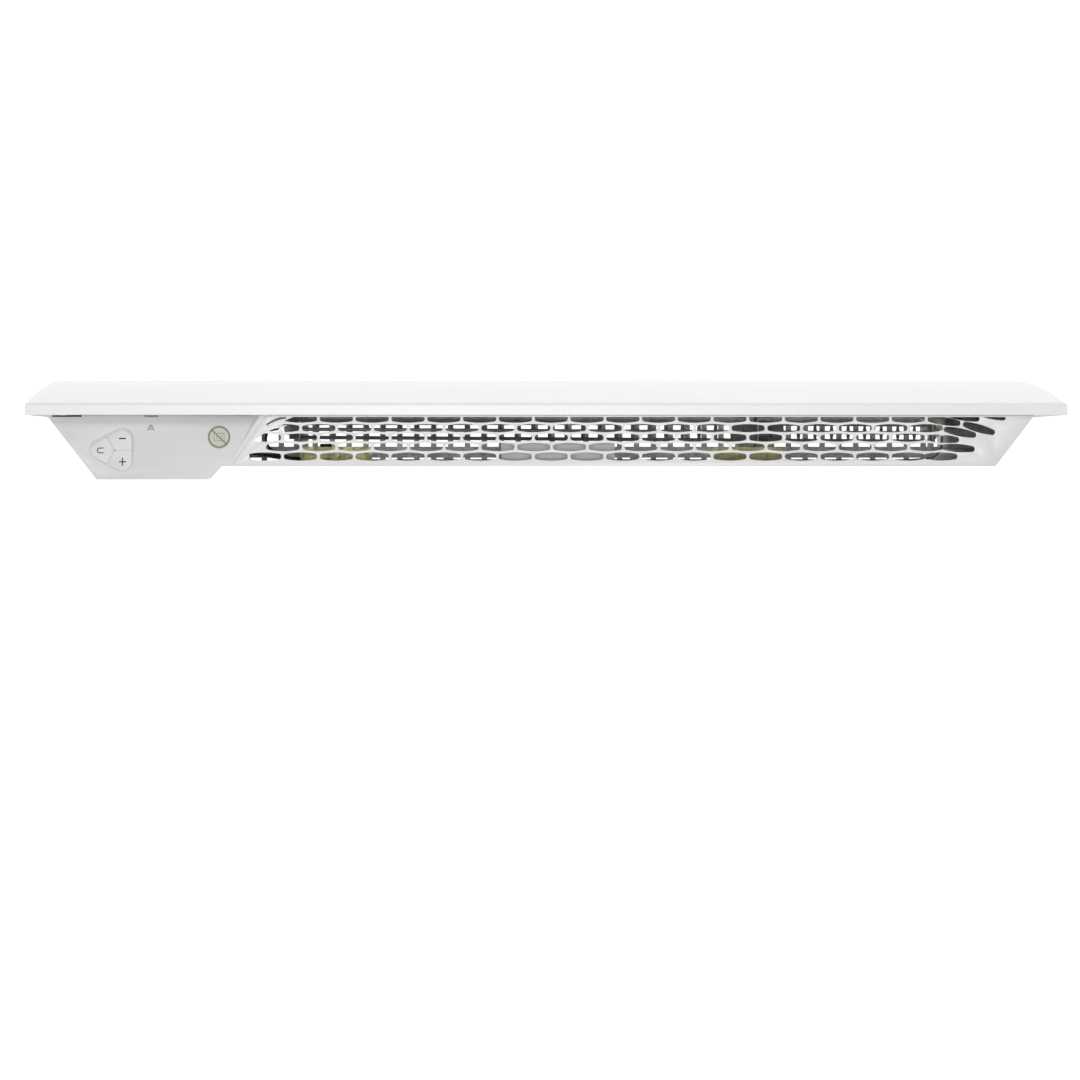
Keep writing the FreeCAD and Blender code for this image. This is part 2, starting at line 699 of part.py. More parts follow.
def key_recess():
    """Shallow hollow round the keys, with a sloped wall."""
    low = hull_wire(key_centres(), KEY_ROUND + 0.6, 0)
    high = hull_wire(key_centres(), KEY_ROUND + 3.6, 4.0)
    return key_frame(Part.makeLoft([low, high], True, True))


def control_fascia():
    """Top of the control end, with the roll, the bevel and the key recess."""
    points = control_points(0, CTRL_SEAM_FRONT_X, CTRL_SEAM_BACK_X)
    slab = plan_prism(points, FASCIA_BOTTOM_Z, TOP_Z)
    inner = control_points(3.0, CTRL_INNER_X, CTRL_INNER_X)
    slab = slab.cut(plan_prism(inner, FASCIA_BOTTOM_Z - 1, 562.5))
    back_room = plan_prism(inner, FASCIA_BOTTOM_Z - 1, 566.0)
    slab = slab.cut(back_room.common(box(0, WIDTH / 2, 18.0, DEPTH, FASCIA_BOTTOM_Z - 2, HEIGHT)))
    slab = slab.cut(fascia_roll().common(fascia_bevel_side()))
    slab = slab.cut(key_recess())
    slab = slab.cut(key_frame(key_pad(KEY_ROUND + KEY_GAP, -20, 2)))
    for x0, x1 in NOTCHES_X:
        slab = slab.cut(box(x0, x1, CTRL_FRONT_Y - 1, NOTCH_BACK_Y, NOTCH_LOW_Z, TOP_Z + 1))
    return slab.removeSplitter()


def key_cap(name):
    """One key: its third of the rounded triangle, with a plunger below."""
    cx = sum(x for x, _ in key_centres()) / 3
    cy = sum(y for _, y in key_centres()) / 3
    pad = key_pad(KEY_ROUND, -KEY_THICK, 0)
    x, y = KEY_SPOTS[name]
    for other in key_centres():
        if other == KEY_SPOTS[name]:
            continue
        apart = math.degrees(math.atan2(other[1] - y, other[0] - x))
        away = box(-KEY_GAP, 60, -60, 60, -10, 10)
        away.rotate(V(0, 0, 0), Z_AXIS, apart)
        away.translate(V((x + other[0]) / 2, (y + other[1]) / 2, 0))
        pad = pad.cut(away)
    pad = pad.cut(Part.makeCylinder(0.6, 20, V(cx, cy, -10)))
    plunger = rod(V(x, y, -KEY_THICK - 2.2), V(x, y, -KEY_THICK), 2.0)
    return key_frame(pad.fuse(plunger).removeSplitter())


def key_board():
    """Small circuit board under the keys."""
    board = Part.Face(hull_wire(key_centres(), KEY_ROUND - 1.0, -9.0)).extrude(V(0, 0, 1.6))
    return key_frame(board)


def key_switches():
    """Three short-travel switches under the key plungers."""
    switches = []
    for x, y in key_centres():
        base = box(x - 3, x + 3, y - 3, y + 3, -7.4, -5.8)
        button = rod(V(x, y, -5.8), V(x, y, -5.1), 1.7)
        switches.append(key_frame(base.fuse(button)))
    return group(switches)


def display_window():
    """Dark window of the display, under the front panel's rim."""
    return box(446, 474, -10.3, -8.7, 562.2, 564.6)


def sensor_window():
    """Dark window of the presence sensor, under the front panel's rim."""
    return box(373, 386, -10.3, -8.7, 562.2, 565.2)


def power_board():
    """Main circuit board on the housing's bosses."""
    board = box(328, 448, -5, 40, CTRL_BOTTOM_Z + 10, CTRL_BOTTOM_Z + 11.6)
    corner = plan_prism([(452, -5), (452, 45), (424, 45)], 400, 480)
    board = board.cut(corner)
    for x, y in boss_spots():
        board = board.cut(rod(V(x, y, 400), V(x, y, 480), 1.6))
    return board


def board_screws():
    """Screws that hold the power board."""
    screws = []
    base = CTRL_BOTTOM_Z + 11.6
    for x, y in boss_spots():
        screws.append(rod(V(x, y, base), V(x, y, base + 2), 2.8).fuse(
            rod(V(x, y, base - 1.6), V(x, y, base), 1.5)))
    return group(screws)


def power_relay():
    """Relay that switches the element."""
    base = CTRL_BOTTOM_Z + 11.6
    block = box(350, 370, 4, 32, base, base + 16)
    return block.makeFillet(0.8, [e for e in block.Edges if e.BoundBox.ZMin > base + 1])


def terminal_block():
    """Three-way screw terminal for the mains cord."""
    base = CTRL_BOTTOM_Z + 11.6
    block = box(392, 418, 14, 28, base, base + 14)
    for i in range(3):
        x = 396.5 + i * 8.5
        block = block.cut(rod(V(x, 21, base + 8), V(x, 21, base + 20), 2.6))
        block = block.cut(rod(V(x, 20, base + 5), V(x, 40, base + 5), 2.0))
    return block


def terminal_screws():
    """Slotted screws of the terminal block."""
    base = CTRL_BOTTOM_Z + 11.6
    screws = []
    for i in range(3):
        x = 396.5 + i * 8.5
        head = rod(V(x, 21, base + 8), V(x, 21, base + 11), 2.2)
        screws.append(head.cut(box(x - 0.35, x + 0.35, 15, 27, base + 10.2, base + 12)))
    return group(screws)


def capacitor():
    """Suppression capacitor on the power board."""
    base = CTRL_BOTTOM_Z + 11.6
    block = box(376, 386, 6, 24, base, base + 12)
    return block.makeFillet(0.8, [e for e in block.Edges if e.BoundBox.ZMin > base + 1])


def cable_gland():
    """Gland in the housing's overhang, where the mains cord comes in from below."""
    bottom = CTRL_BOTTOM_Z
    flange = rod(V(GLAND_X, GLAND_Y, bottom - 3), V(GLAND_X, GLAND_Y, bottom), 6.0)
    neck = rod(V(GLAND_X, GLAND_Y, bottom), V(GLAND_X, GLAND_Y, bottom + CTRL_WALL), 5.0)
    collar = rod(V(GLAND_X, GLAND_Y, bottom + CTRL_WALL), V(GLAND_X, GLAND_Y, bottom + 9), 4.9)
    bore = rod(V(GLAND_X, GLAND_Y, bottom - 5), V(GLAND_X, GLAND_Y, bottom + 12), GLAND_BORE_R)
    return flange.fuse(neck).fuse(collar).cut(bore).removeSplitter()


def wire_grommet():
    """Rubber ring where the inner wires leave the control housing."""
    inside = GROMMET_AT + Z_AXIS * CTRL_WALL
    ring = tube(GROMMET_AT, inside, GROMMET_R, GROMMET_BORE_R)
    lower_lip = tube(GROMMET_AT - Z_AXIS * 1.5, GROMMET_AT, GROMMET_R + 1.4, GROMMET_BORE_R)
    upper_lip = tube(inside, inside + Z_AXIS * 1.5, GROMMET_R + 1.4, GROMMET_BORE_R)
    return ring.fuse(lower_lip).fuse(upper_lip).removeSplitter()


# ---------------------------------------------------------------- wiring

def live_wire():
    """From the power board down to the disc thermostat."""
    points = [V(350, 12, 446), V(338, 12, 446), V(324, 12.3, 444), V(317, 12.5, 437), V(316, 12.5, 424)]
    points += [V(315.8, 13, 404), V(315, 16, 372)]
    points += wandering(V(312, 24, 340), V(262, 30, 222), 3, V(2, 0, 1))
    points += [V(246, 31, 188), V(234, 32, 172), V(229, 31.2, 168)]
    return wire_along(points, WIRE_R)


def element_wire():
    """From the disc thermostat to the element's near end."""
    points = [V(221, 31.2, 168), V(222, 33, 150), V(238, 33, 134), V(262, 31, 124), V(284, 24, 116),
              V(292, 12, 106), V(289, 1, 97), V(277.7, element_line_y(277), ELEMENT_Z)]
    return wire_along(points, WIRE_R)


def return_wire():
    """From the element's far end along the back wall and up to the power board."""
    points = [V(-437.8, ELEMENT_Y + 3.3, ELEMENT_Z), V(-437.8, 18, 93), V(-436, 26, 76), V(-430, 31, 62)]
    points += [V(-404, 33, 55)]
    points += wandering(V(-360, 33, 56), V(250, 33, 56), 12, V(0, 0, 3))
    points += [V(290, 30, 66), V(306, 22, 100)]
    points += wandering(V(312, 12, 140), V(313, 8, 380), 5, V(1.5, 0, 0))
    points += [V(316, 8.6, 404), V(319.8, 11.2, 424), V(321.5, 9.6, 438), V(330, 8, 444), V(340, 7, 444)]
    points += [V(350, 7, 444)]
    return wire_along(points, WIRE_R)


def wire_clips():
    """Saddles that hold the return wire against the back wall."""
    clips = []
    back = CASE_BACK_Y - CASE_WALL
    for x in (-309.2, -105.8, 97.5, 199.2):
        z = 56
        saddle = box(x - 3, x + 3, 30.2, back, z - 8, z + 8)
        saddle = saddle.cut(box(x - 4, x + 4, 31.2, back, z - 4.6, z + 4.6))
        saddle = saddle.cut(box(x - 4, x + 4, 29, back - 1, z + 5.6, z + 9))
        saddle = saddle.cut(box(x - 4, x + 4, 29, back - 1, z - 9, z - 5.6))
        clips.append(saddle)
    return group(clips)


def temperature_probe():
    """Room temperature probe in a small cage at the bottom, under the control housing."""
    body = rod(V(330, 16, 60), V(330, 16, 82), 2.6)
    return body.makeFillet(1.0, [e for e in body.Edges if e.BoundBox.ZMax < 61])


def probe_holder():
    """Clip that holds the probe to the back wall."""
    arm = box(328, 332, 19.4, CASE_BACK_Y - CASE_WALL, 68, 74)
    ring = tube(V(330, 16, 68), V(330, 16, 74), 4.2, 2.6)
    pad = box(322, 338, CASE_BACK_Y - CASE_WALL - 1.5, CASE_BACK_Y - CASE_WALL, 62, 80)
    return arm.fuse(ring).fuse(pad).removeSplitter()


def probe_wire():
    """From the probe up to the power board."""
    points = [V(330, 16, 82), V(330, 17, 102), V(328, 18, 132)]
    points += wandering(V(326, 18, 170), V(322, 16, 350), 4, V(1.5, 0, 0))
    points += [V(320.5, 15.6, 384), V(318.6, 15.8, 424), V(319.2, 16.2, 437), V(326, 17.5, 443)]
    points += [V(338, 18, 443), V(350, 18, 443)]
    return wire_along(points, 0.7)


# ---------------------------------------------------------------- back

def hang_hook(x):
    """Yellow zinc strip: a foot on the back wall and a ledge over the hanging slot."""
    back = CASE_BACK_Y - CASE_WALL
    half = HOOK_WIDTH / 2
    foot = box(x - half, x + half, back - 1.5, back, HOOK_Z, HOOK_Z + 34)
    ledge = box(x - half, x + half, 19.5, back, HOOK_Z - 1.5, HOOK_Z)
    lip = box(x - half, x + half, 19.5, 21.0, HOOK_Z - 26, HOOK_Z - 1.5)
    hook = foot.fuse(ledge).fuse(lip).removeSplitter()
    for dx in (-24, 24):
        hook = hook.cut(rod(V(x + dx, 30, HOOK_Z + 22), V(x + dx, 40, HOOK_Z + 22), 2.0))
    return hook


def hook_rivets():
    """Rivets that join the hooks to the back wall."""
    rivets = []
    for x in (-HOOK_X, HOOK_X):
        for dx in (-24, 24):
            z = HOOK_Z + 22
            inner = CASE_BACK_Y - CASE_WALL - 1.5
            rivets.append(rod(V(x + dx, inner - 1.2, z), V(x + dx, inner, z), 3.4).fuse(
                rod(V(x + dx, inner, z), V(x + dx, inner + 1.5, z), 2.0)))
    return group(rivets)


def latch_housing():
    """Light moulded guide for the latch, inside the back wall."""
    back = CASE_BACK_Y - CASE_WALL
    block = box(LATCH_X - 56.5, LATCH_X + 54, 15.5, back, LATCH_Z, LATCH_Z + 54)
    block = block.makeFillet(2.0, [e for e in block.Edges if e.BoundBox.YMax < 16])
    way = box(LATCH_X - 15.4, LATCH_X + 15.4, 26.6, back + 1, LATCH_Z - 1, LATCH_Z + 50)
    room = box(LATCH_X - 5.5, LATCH_X + 5.5, 21, back + 1, LATCH_Z + 26, LATCH_Z + 50)
    for x0, x1 in ((-54.5, -17.6), (17.6, 52)):
        block = block.cut(box(LATCH_X + x0, LATCH_X + x1, 17.5, back + 1, LATCH_Z + 2, LATCH_Z + 52))
    return block.cut(way).cut(room).removeSplitter()


def latch_bolt():
    """Sliding bolt that drops behind the wall bracket's tongue, inside the back wall."""
    plate = box(LATCH_X - 15, LATCH_X + 15, 27, 37.0, LATCH_Z + 2, LATCH_Z + 25)
    nose = side_prism([(37.0, 480), (38.4, 480), (38.4, 488), (37.0, 491)], LATCH_X - 12, LATCH_X + 12)
    tail = box(LATCH_X - 9, LATCH_X + 9, 27, 31, LATCH_Z - 14, LATCH_Z + 2)
    return plate.fuse(nose).fuse(tail).removeSplitter()


def latch_spring():
    """Coil spring that presses the bolt down."""
    wire_r = 0.5
    coil_r = 3.4
    low = LATCH_Z + 25.6
    high = LATCH_Z + 49.4
    helix = Part.makeHelix(3.8, high - low, coil_r)
    section = Part.Wire(Part.Circle(V(coil_r, 0, 0), Y_AXIS, wire_r).toShape())
    coil = Part.Wire(helix).makePipeShell([section], True, True)
    coil.translate(V(LATCH_X, 31.2, low))
    return coil


def rating_plate():
    """Blank data plate on the back."""
    return box(-330, -260, CASE_BACK_Y, CASE_BACK_Y + 0.3, 200, 240)


PARTS = {
    "front_panel": front_panel,
    "panel_screws": panel_screws,
    "rear_casing": rear_casing,
    "bottom_grille": bottom_grille,
    "inner_front_plate": inner_front_plate,
    "end_baffle": end_baffle,
    "heat_shield": heat_shield,
    "top_grille": top_grille,
    "element_body": element_body,
    "element_rod": element_rod,
    "element_insulators": element_insulators,
    "element_terminals": element_terminals,
    "element_supports": element_supports,
    "mica_blocks": mica_blocks,
    "thermal_cutout": thermal_cutout,
    "cutout_bracket": cutout_bracket,
    "control_housing": control_housing,
    "control_fascia": control_fascia,
    "power_key": lambda: key_cap("power_key"),
    "minus_key": lambda: key_cap("minus_key"),
    "plus_key": lambda: key_cap("plus_key"),
    "key_board": key_board,
    "key_switches": key_switches,
    "display_window": display_window,
    "sensor_window": sensor_window,
    "power_board": power_board,
    "board_screws": board_screws,
    "power_relay": power_relay,
    "capacitor": capacitor,
    "terminal_block": terminal_block,
    "terminal_screws": terminal_screws,
    "cable_gland": cable_gland,
    "wire_grommet": wire_grommet,
    "live_wire": live_wire,
    "element_wire": element_wire,
    "return_wire": return_wire,
    "wire_clips": wire_clips,
    "temperature_probe": temperature_probe,
    "probe_holder": probe_holder,
    "probe_wire": probe_wire,
    "hook_left": lambda: hang_hook(-HOOK_X),
    "hook_right": lambda: hang_hook(HOOK_X),
    "hook_rivets": hook_rivets,
    "latch_housing": latch_housing,
    "latch_bolt": latch_bolt,
    "latch_spring": latch_spring,
    "rating_plate": rating_plate,
}

os.makedirs("parts", exist_ok=True)
for name, make in PARTS.items():
    shape = make()
    shape.exportStep("parts/" + name + ".step")
    bounds = shape.optimalBoundingBox(False)
    reach = (bounds.XMin, bounds.XMax, bounds.YMin, bounds.YMax, bounds.ZMin, bounds.ZMax)
    print(name, shape.isValid(), len(shape.Solids), round(shape.Volume), [round(v, 1) for v in reach])
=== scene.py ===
import json
import math

import bmesh
import bpy
from mathutils import Matrix, Vector


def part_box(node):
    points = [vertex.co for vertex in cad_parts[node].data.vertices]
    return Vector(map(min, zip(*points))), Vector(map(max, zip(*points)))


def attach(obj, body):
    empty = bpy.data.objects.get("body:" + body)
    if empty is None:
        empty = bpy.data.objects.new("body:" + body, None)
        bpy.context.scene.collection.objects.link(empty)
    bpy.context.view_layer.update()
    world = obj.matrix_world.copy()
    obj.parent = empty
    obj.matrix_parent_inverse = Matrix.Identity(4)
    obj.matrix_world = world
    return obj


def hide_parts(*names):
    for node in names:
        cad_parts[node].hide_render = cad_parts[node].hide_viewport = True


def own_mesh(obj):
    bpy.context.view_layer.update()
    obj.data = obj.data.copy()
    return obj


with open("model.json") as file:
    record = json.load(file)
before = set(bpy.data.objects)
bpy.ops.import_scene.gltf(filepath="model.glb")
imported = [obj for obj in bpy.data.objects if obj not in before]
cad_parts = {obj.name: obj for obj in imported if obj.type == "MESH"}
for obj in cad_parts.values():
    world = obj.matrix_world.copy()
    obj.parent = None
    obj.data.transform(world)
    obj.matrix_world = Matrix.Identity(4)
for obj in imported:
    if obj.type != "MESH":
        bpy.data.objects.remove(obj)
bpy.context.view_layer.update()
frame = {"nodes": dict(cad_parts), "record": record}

MM = 0.001
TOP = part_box("top_grille")[1].z
NODES = frame["nodes"]


# ---------------------------------------------------------------- node helpers

def new_material(name):
    """Empty node material with a Principled shader; returns the material, its tree and the shader."""
    material = bpy.data.materials.new(name)
    material.use_nodes = True
    tree = material.node_tree
    return material, tree, tree.nodes["Principled BSDF"]


def noise(tree, scale, detail=4.0, roughness=0.5, stretch=(1, 1, 1)):
    """Noise in the object's own coordinates, in metres."""
    coords = tree.nodes.new("ShaderNodeTexCoord")
    mapping = tree.nodes.new("ShaderNodeMapping")
    mapping.inputs["Scale"].default_value = stretch
    texture = tree.nodes.new("ShaderNodeTexNoise")
    texture.inputs["Scale"].default_value = scale
    texture.inputs["Detail"].default_value = detail
    texture.inputs["Roughness"].default_value = roughness
    tree.links.new(coords.outputs["Object"], mapping.inputs["Vector"])
    tree.links.new(mapping.outputs["Vector"], texture.inputs["Vector"])
    return texture.outputs["Fac"]


def cells(tree, scale, stretch=(1, 1, 1)):
    """Random value per cell, in the object's own coordinates."""
    coords = tree.nodes.new("ShaderNodeTexCoord")
    mapping = tree.nodes.new("ShaderNodeMapping")
    mapping.inputs["Scale"].default_value = stretch
    texture = tree.nodes.new("ShaderNodeTexVoronoi")
    texture.inputs["Scale"].default_value = scale
    tree.links.new(coords.outputs["Object"], mapping.inputs["Vector"])
    tree.links.new(mapping.outputs["Vector"], texture.inputs["Vector"])
    return texture.outputs["Color"]


def ramp(tree, source, stops):
    """Colour ramp over a value; stops are (position, colour)."""
    node = tree.nodes.new("ShaderNodeValToRGB")
    elements = node.color_ramp.elements
    while len(elements) < len(stops):
        elements.new(0.5)
    for element, (position, colour) in zip(elements, stops):
        element.position = position
        element.color = (*colour, 1)
    tree.links.new(source, node.inputs["Fac"])
    return node.outputs["Color"]


def bump(tree, shader, height, strength, distance):
    """Bump from a height into the shader, over any bump that is there already."""
    node = tree.nodes.new("ShaderNodeBump")
    node.inputs["Strength"].default_value = strength
    node.inputs["Distance"].default_value = distance
    tree.links.new(height, node.inputs["Height"])
    old = shader.inputs["Normal"].links
    if old:
        tree.links.new(old[0].from_socket, node.inputs["Normal"])
    tree.links.new(node.outputs["Normal"], shader.inputs["Normal"])


def spread(tree, source, low, high):
    """Maps a 0-1 value to a range."""
    node = tree.nodes.new("ShaderNodeMapRange")
    node.inputs["From Min"].default_value = 0.3
    node.inputs["From Max"].default_value = 0.7
    node.inputs["To Min"].default_value = low
    node.inputs["To Max"].default_value = high
    tree.links.new(source, node.inputs["Value"])
    return node.outputs["Result"]


def painted_edge_highlight(tree, colour, highlight_colour, amount):
    """Mixes in another colour where the surface turns sharply: a painted highlight along edges and
    folds.
    """
    geometry = tree.nodes.new("ShaderNodeNewGeometry")
    reach = tree.nodes.new("ShaderNodeMapRange")
    reach.inputs["From Min"].default_value = 0.52
    reach.inputs["From Max"].default_value = 0.62
    reach.inputs["To Max"].default_value = amount
    mix = tree.nodes.new("ShaderNodeMix")
    mix.data_type = "RGBA"
    tree.links.new(geometry.outputs["Pointiness"], reach.inputs["Value"])
    tree.links.new(reach.outputs["Result"], mix.inputs["Factor"])
    tree.links.new(colour, mix.inputs["A"])
    mix.inputs["B"].default_value = (*highlight_colour, 1)
    return mix.outputs["Result"]


def tint(colour, factor):
    """Colour made lighter or darker."""
    return tuple(min(1.0, c * factor) for c in colour)


# ---------------------------------------------------------------- materials

def powder_coat(name, colour, roughness=0.42, peel=0.12):
    """Baked powder paint: orange peel and a slow drift in tone."""
    material, tree, shader = new_material(name)
    drift = noise(tree, 9, 3)
    speck = noise(tree, 620, 2, 0.6)
    base = ramp(tree, drift, [(0.30, tint(colour, 0.975)), (0.70, tint(colour, 1.012))])
    # Painted highlight: sharp edges and folds are given a lighter tone.
    base = painted_edge_highlight(tree, base, tint(colour, 1.05), 0.5)
    tree.links.new(base, shader.inputs["Base Color"])
    tree.links.new(spread(tree, speck, roughness - 0.05, roughness + 0.07), shader.inputs["Roughness"])
    shader.inputs["Coat Weight"].default_value = 0.15
    shader.inputs["Coat Roughness"].default_value = 0.25
    bump(tree, shader, noise(tree, 850, 2, 0.5), peel, 0.00012)
    bump(tree, shader, noise(tree, 240, 1, 0.5), peel * 0.6, 0.00025)
    return material


def moulded(name, colour, roughness=0.5, grain=0.2, scale=1500):
    """Injection-moulded plastic: fine spark texture and faint flow marks."""
    material, tree, shader = new_material(name)
    flow = noise(tree, 14, 3, 0.6, (1, 3, 1))
    base = ramp(tree, flow, [(0.3, tint(colour, 0.965)), (0.7, tint(colour, 1.02))])
    # Painted highlight: sharp edges and folds are given a lighter tone.
    base = painted_edge_highlight(tree, base, tint(colour, 1.08), 0.4)
    tree.links.new(base, shader.inputs["Base Color"])
    fine = noise(tree, scale, 2, 0.6)
    tree.links.new(spread(tree, fine, roughness - 0.06, roughness + 0.08), shader.inputs["Roughness"])
    bump(tree, shader, fine, grain, 0.00008)
    return material


def galvanised(name, dark, light, roughness=0.45):
    """Zinc-dipped sheet: spangle cells, rolling lines and a dull bloom."""
    material, tree, shader = new_material(name)
    spangle = cells(tree, 160)
    bloom = noise(tree, 28, 4, 0.6)
    mix = tree.nodes.new("ShaderNodeMix")
    mix.inputs["Factor"].default_value = 0.45
    tree.links.new(spangle, mix.inputs["A"])
    tree.links.new(bloom, mix.inputs["B"])
    base = ramp(tree, mix.outputs["Result"], [(0.25, dark), (0.75, light)])
    tree.links.new(base, shader.inputs["Base Color"])
    tree.links.new(spread(tree, bloom, roughness - 0.08, roughness + 0.12), shader.inputs["Roughness"])
    shader.inputs["Metallic"].default_value = 0.3
    bump(tree, shader, noise(tree, 500, 2, 0.5, (0.05, 1, 1)), 0.08, 0.0001)
    return material


def bare_metal(name, colour, metallic=1.0, roughness=0.35, lines=(0.05, 1, 1)):
    """Metal with drawing lines along its length and a thin oxide."""
    material, tree, shader = new_material(name)
    oxide = noise(tree, 60, 4, 0.6)
    base = ramp(tree, oxide, [(0.25, tint(colour, 0.78)), (0.75, tint(colour, 1.12))])
    tree.links.new(base, shader.inputs["Base Color"])
    draw = noise(tree, 900, 2, 0.5, lines)
    tree.links.new(spread(tree, draw, roughness - 0.08, roughness + 0.12), shader.inputs["Roughness"])
    shader.inputs["Metallic"].default_value = metallic
    bump(tree, shader, draw, 0.15, 0.00008)
    return material


def yellow_zinc(name):
    """Yellow chromate over zinc, in olive and straw clouds."""
    material, tree, shader = new_material(name)
    cloud = noise(tree, 45, 4, 0.65)
    base = ramp(tree, cloud, [(0.25, (0.17, 0.17, 0.06)), (0.45, (0.24, 0.225, 0.085)),
                              (0.6, (0.28, 0.265, 0.12)), (0.8, (0.21, 0.225, 0.125))])
    tree.links.new(base, shader.inputs["Base Color"])
    tree.links.new(spread(tree, noise(tree, 300, 3), 0.28, 0.46), shader.inputs["Roughness"])
    shader.inputs["Metallic"].default_value = 0.3
    bump(tree, shader, noise(tree, 1200, 2), 0.08, 0.00006)
    return material


def circuit_board(name):
    """Green solder mask with paler traces under it."""
    material, tree, shader = new_material(name)
    coords = tree.nodes.new("ShaderNodeTexCoord")
    bricks = tree.nodes.new("ShaderNodeTexBrick")
    bricks.inputs["Scale"].default_value = 260
    bricks.inputs["Color1"].default_value = (0.010, 0.085, 0.030, 1)
    bricks.inputs["Color2"].default_value = (0.014, 0.110, 0.038, 1)
    bricks.inputs["Mortar"].default_value = (0.030, 0.190, 0.070, 1)
    bricks.inputs["Mortar Size"].default_value = 0.03
    tree.links.new(coords.outputs["Object"], bricks.inputs["Vector"])
    tree.links.new(bricks.outputs["Color"], shader.inputs["Base Color"])
    tree.links.new(spread(tree, noise(tree, 200), 0.22, 0.34), shader.inputs["Roughness"])
    bump(tree, shader, bricks.outputs["Fac"], 0.2, 0.00005)
    return material


def ceramic(name, colour):
    """Unglazed ceramic with a fine pitted skin."""
    material, tree, shader = new_material(name)
    stain = noise(tree, 90, 4)
    tree.links.new(ramp(tree, stain, [(0.3, tint(colour, 0.86)), (0.7, colour)]),
                   shader.inputs["Base Color"])
    shader.inputs["Roughness"].default_value = 0.7
    bump(tree, shader, noise(tree, 2200, 3, 0.7), 0.3, 0.00006)
    return material


def layered(name, colour):
    """Pressed mica: dark flakes with a dull sparkle."""
    material, tree, shader = new_material(name)
    flakes = cells(tree, 700)
    tree.links.new(ramp(tree, flakes, [(0.2, tint(colour, 0.7)), (0.9, tint(colour, 1.6))]),
                   shader.inputs["Base Color"])
    tree.links.new(spread(tree, flakes, 0.3, 0.6), shader.inputs["Roughness"])
    bump(tree, shader, flakes, 0.15, 0.00005)
    return material


def dark_glass(name):
    """Smoked window with faint wiping marks."""
    material, tree, shader = new_material(name)
    smear = noise(tree, 200, 3, 0.6, (0.2, 1, 1))
    tree.links.new(ramp(tree, smear, [(0.3, (0.014, 0.014, 0.010)), (0.7, (0.028, 0.028, 0.020))]),
                   shader.inputs["Base Color"])
    tree.links.new(spread(tree, smear, 0.10, 0.20), shader.inputs["Roughness"])
    return material


def printed_ink(name, colour):
    """Screen-printed ink, slightly uneven."""
    material, tree, shader = new_material(name)
    patch = noise(tree, 1800, 3, 0.6)
    tree.links.new(ramp(tree, patch, [(0.3, tint(colour, 0.8)), (0.7, tint(colour, 1.2))]),
                   shader.inputs["Base Color"])
    shader.inputs["Roughness"].default_value = 0.55
    bump(tree, shader, patch, 0.15, 0.00004)
    return material


def rubber(name):
    """Black moulded rubber with a chalky bloom."""
    material, tree, shader = new_material(name)
    chalk = noise(tree, 130, 4, 0.65)
    tree.links.new(ramp(tree, chalk, [(0.35, (0.018, 0.018, 0.018)), (0.75, (0.05, 0.05, 0.048))]),
                   shader.inputs["Base Color"])
    tree.links.new(spread(tree, chalk, 0.62, 0.82), shader.inputs["Roughness"])
    bump(tree, shader, noise(tree, 1600, 2), 0.2, 0.00006)
    return material


PANEL_WHITE = (0.86, 0.865, 0.87)
CASE_WHITE = (0.80, 0.80, 0.80)

MATERIALS = {
    "white_panel": powder_coat("white_panel_paint", PANEL_WHITE),
    "white_casing": powder_coat("white_casing_paint", CASE_WHITE, 0.46),
    "white_plastic": moulded("white_moulding", (0.74, 0.74, 0.745), 0.50, 0.22),
    "key_plastic": moulded("key_moulding", (0.76, 0.76, 0.765), 0.58, 0.25, 2200),
    "galvanised": galvanised("galvanised_sheet", (0.40, 0.405, 0.375), (0.56, 0.565, 0.53)),
    "element_aluminium": bare_metal("element_alloy", (0.50, 0.50, 0.47), 0.25, 0.55),
    "element_steel": bare_metal("element_sheath", (0.30, 0.29, 0.27), 0.5, 0.5),
    "white_ceramic": ceramic("bush_ceramic", (0.80, 0.78, 0.72)),
    "mica": layered("pressed_mica", (0.035, 0.033, 0.03)),
    "black_plastic": moulded("black_moulding", (0.022, 0.022, 0.022), 0.45, 0.25),
    "grey_plastic": moulded("grey_moulding", (0.70, 0.70, 0.675), 0.50, 0.22),
    "dark_window": dark_glass("smoked_window"),
    "board_green": circuit_board("circuit_board_mask"),
    "cap_yellow": moulded("capacitor_case", (0.62, 0.42, 0.06), 0.35, 0.1),
    "zinc_screw": bare_metal("bright_zinc", (0.60, 0.60, 0.58), 1.0, 0.3, (1, 1, 1)),
    "yellow_zinc": yellow_zinc("yellow_zinc_plate"),
    "spring_steel": bare_metal("spring_wire", (0.40, 0.40, 0.40), 1.0, 0.25, (1, 1, 0.1)),
    "black_rubber": rubber("black_rubber_bloom"),
    "wire_brown": moulded("brown_sleeve", (0.16, 0.06, 0.022), 0.4, 0.08),
    "wire_grey": moulded("grey_sleeve", (0.28, 0.28, 0.27), 0.4, 0.08),
    "wire_black": moulded("black_sleeve", (0.02, 0.02, 0.02), 0.4, 0.08),
    "plate_silver": bare_metal("blank_foil", (0.62, 0.62, 0.62), 0.9, 0.35),
}
INK_DARK = printed_ink("ink_dark", (0.020, 0.021, 0.018))
INK_OLIVE = printed_ink("ink_olive", (0.27, 0.27, 0.20))
INK_PALE = printed_ink("ink_pale", (0.36, 0.355, 0.28))
INK_FIELD = printed_ink("ink_field", (0.61, 0.60, 0.52))


def dress_nodes():
    """Gives every node of the frame its finish."""
    for row in frame["record"]["subparts"]:
        node = NODES[row["node"]]
        material = MATERIALS[row["material_slot"]]
        if node.data.materials:
            for i in range(len(node.material_slots)):
                node.material_slots[i].material = material
        else:
            node.data.materials.append(material)


# ---------------------------------------------------------------- mesh helpers

def make_piece(name, mesh, material, body):
    """Object in the scene that rides on a body."""
    piece = bpy.data.objects.new(name, mesh)
    bpy.context.scene.collection.objects.link(piece)
    mesh.materials.append(material)
    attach(piece, body)
    return piece


# ---------------------------------------------------------------- pieces that stand in for nodes

